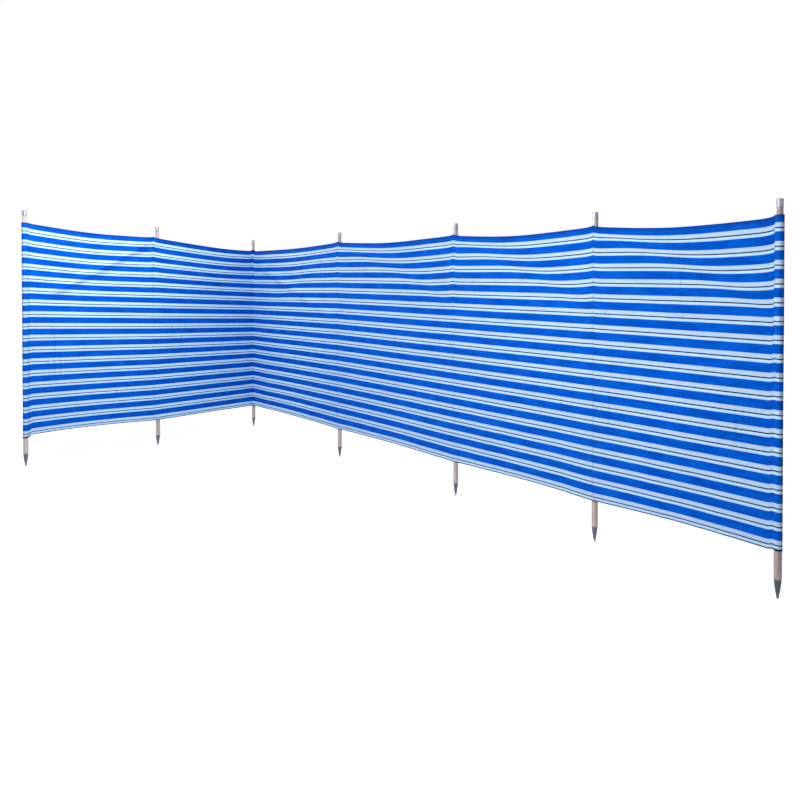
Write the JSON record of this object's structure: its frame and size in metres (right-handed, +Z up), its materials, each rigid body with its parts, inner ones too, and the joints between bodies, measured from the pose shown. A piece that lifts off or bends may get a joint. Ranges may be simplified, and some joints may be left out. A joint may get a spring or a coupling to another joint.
{
  "type": "beach windbreak",
  "caption": "Striped cloth windbreak screen on round wooden poles with metal caps and ground spikes, standing in two wings that meet at a corner pole.",
  "frame": {"origin": "centre of the blunt tip of the corner pole's spike", "axes": "+Z up along the poles; the two wings run from the corner towards -Y and enclose the space on that side; +X to the right seen from there"},
  "size_m": [3.9675, 3.0834, 1.735],
  "materials": {
    "wood": "bare, sanded",
    "cap": "plated, satin",
    "spike": "dull plated, worn",
    "cloth": "woven, blue and pale stripes with a thin dark line"
  },
  "bodies": {
    "root": {"pole_1": "wood", "cap_1": "cap", "spike_1": "spike", "sleeve_1": "cloth", "pole_2": "wood", "cap_2": "cap", "spike_2": "spike", "sleeve_2": "cloth", "pole_3": "wood", "cap_3": "cap", "spike_3": "spike", "sleeve_3": "cloth", "pole_4": "wood", "cap_4": "cap", "spike_4": "spike", "sleeve_4": "cloth", "pole_5": "wood", "cap_5": "cap", "spike_5": "spike", "sleeve_5": "cloth", "pole_6": "wood", "cap_6": "cap", "spike_6": "spike", "sleeve_6": "cloth", "pole_7": "wood", "cap_7": "cap", "spike_7": "spike", "sleeve_7": "cloth", "cloth_bay_1": "cloth", "cloth_bay_2": "cloth", "cloth_bay_3": "cloth", "cloth_bay_4": "cloth", "cloth_bay_5": "cloth", "cloth_bay_6": "cloth"}
  },
  "joints": []
}
